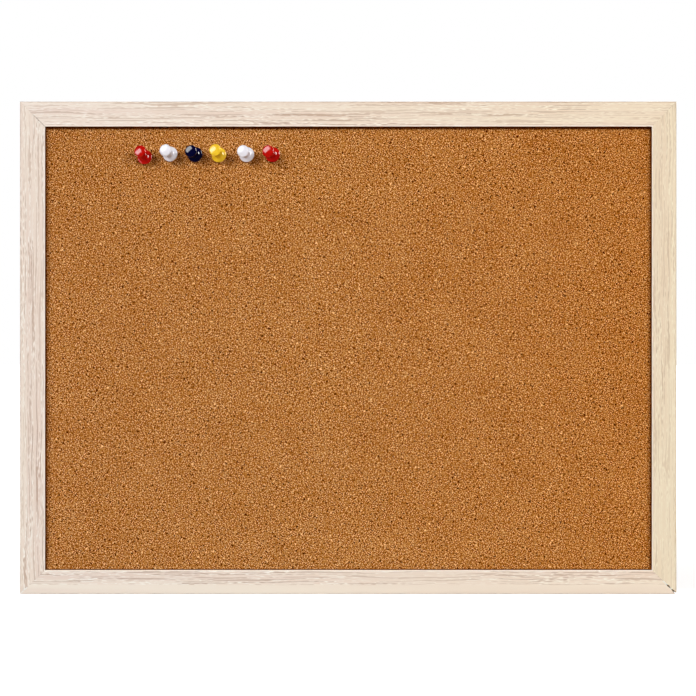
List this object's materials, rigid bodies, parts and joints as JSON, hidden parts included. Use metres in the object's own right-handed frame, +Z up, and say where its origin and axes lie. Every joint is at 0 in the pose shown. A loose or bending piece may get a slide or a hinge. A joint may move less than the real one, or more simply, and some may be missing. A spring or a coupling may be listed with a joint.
{
  "type": "cork pin board",
  "caption": "Wall-hung cork pin board: mitred pale oak-look frame, cork-faced softboard panel, push pins that pull out, and swinging hanging rings on the back.",
  "frame": {"origin": "middle of the board's back, in the plane that lies against the wall", "axes": "+X to the right seen from the front, +Y towards the wall, +Z up"},
  "size_m": [0.4, 0.0299, 0.3],
  "materials": {
    "rail_foil": "pale limed-oak foil on MDF, satin",
    "cork": "fine agglomerated cork, matt",
    "softboard": "raw softboard, matt",
    "hardboard": "smooth hardboard, satin",
    "bright_steel": "drawn steel",
    "zinc_plated_steel": "zinc plated, semi-bright",
    "pin_plastic_red": "moulded polystyrene, glossy",
    "pin_plastic_white": "moulded polystyrene, glossy",
    "pin_plastic_navy": "moulded polystyrene, glossy",
    "pin_plastic_yellow": "moulded polystyrene, glossy"
  },
  "bodies": {
    "board": {"top_rail": "rail_foil", "bottom_rail": "rail_foil", "left_rail": "rail_foil", "right_rail": "rail_foil", "cork_sheet": "cork", "softboard_core": "softboard", "backing_panel": "hardboard", "v_nail_bottom_left_1": "bright_steel", "v_nail_bottom_left_2": "bright_steel", "v_nail_top_left_1": "bright_steel", "v_nail_top_left_2": "bright_steel", "v_nail_top_right_1": "bright_steel", "v_nail_top_right_2": "bright_steel", "v_nail_bottom_right_1": "bright_steel", "v_nail_bottom_right_2": "bright_steel", "retaining_point_top_1": "bright_steel", "retaining_point_top_2": "bright_steel", "retaining_point_top_3": "bright_steel", "retaining_point_bottom_1": "bright_steel", "retaining_point_bottom_2": "bright_steel", "retaining_point_bottom_3": "bright_steel", "retaining_point_left_1": "bright_steel", "retaining_point_left_2": "bright_steel", "retaining_point_right_1": "bright_steel", "retaining_point_right_2": "bright_steel", "hanger_strap_left": "zinc_plated_steel", "hanger_strap_right": "zinc_plated_steel", "hanger_screw_left": "zinc_plated_steel", "hanger_screw_right": "zinc_plated_steel"},
    "pin_1": {"pin_1_head": "pin_plastic_red", "pin_1_needle": "bright_steel"},
    "pin_2": {"pin_2_head": "pin_plastic_white", "pin_2_needle": "bright_steel"},
    "pin_3": {"pin_3_head": "pin_plastic_navy", "pin_3_needle": "bright_steel"},
    "pin_4": {"pin_4_head": "pin_plastic_yellow", "pin_4_needle": "bright_steel"},
    "pin_5": {"pin_5_head": "pin_plastic_white", "pin_5_needle": "bright_steel"},
    "pin_6": {"pin_6_head": "pin_plastic_red", "pin_6_needle": "bright_steel"},
    "ring_left": {"hanger_ring_left": "zinc_plated_steel"},
    "ring_right": {"hanger_ring_right": "zinc_plated_steel"}
  },
  "joints": [
    {"name": "pin_1_pull", "type": "slide", "parent": "board", "child": "pin_1", "axis": [-0.1915, -0.9411, 0.2788], "range_m": [0, 0.025]},
    {"name": "pin_2_pull", "type": "slide", "parent": "board", "child": "pin_2", "axis": [-0.2057, -0.9679, 0.1446], "range_m": [0, 0.025]},
    {"name": "pin_3_pull", "type": "slide", "parent": "board", "child": "pin_3", "axis": [-0.1894, -0.9746, 0.1197], "range_m": [0, 0.025]},
    {"name": "pin_4_pull", "type": "slide", "parent": "board", "child": "pin_4", "axis": [-0.1781, -0.9607, 0.213], "range_m": [0, 0.025]},
    {"name": "pin_5_pull", "type": "slide", "parent": "board", "child": "pin_5", "axis": [-0.1807, -0.9751, 0.1284], "range_m": [0, 0.025]},
    {"name": "pin_6_pull", "type": "slide", "parent": "board", "child": "pin_6", "axis": [-0.2397, -0.9614, 0.1351], "range_m": [0, 0.025]},
    {"name": "ring_left_swing", "type": "hinge", "parent": "board", "child": "ring_left", "pos_m": [-0.1944, 0.00185, 0.095], "axis": [-1, 0, 0], "range_deg": [0, 180]},
    {"name": "ring_right_swing", "type": "hinge", "parent": "board", "child": "ring_right", "pos_m": [0.1944, 0.00185, 0.095], "axis": [-1, 0, 0], "range_deg": [0, 180]}
  ]
}
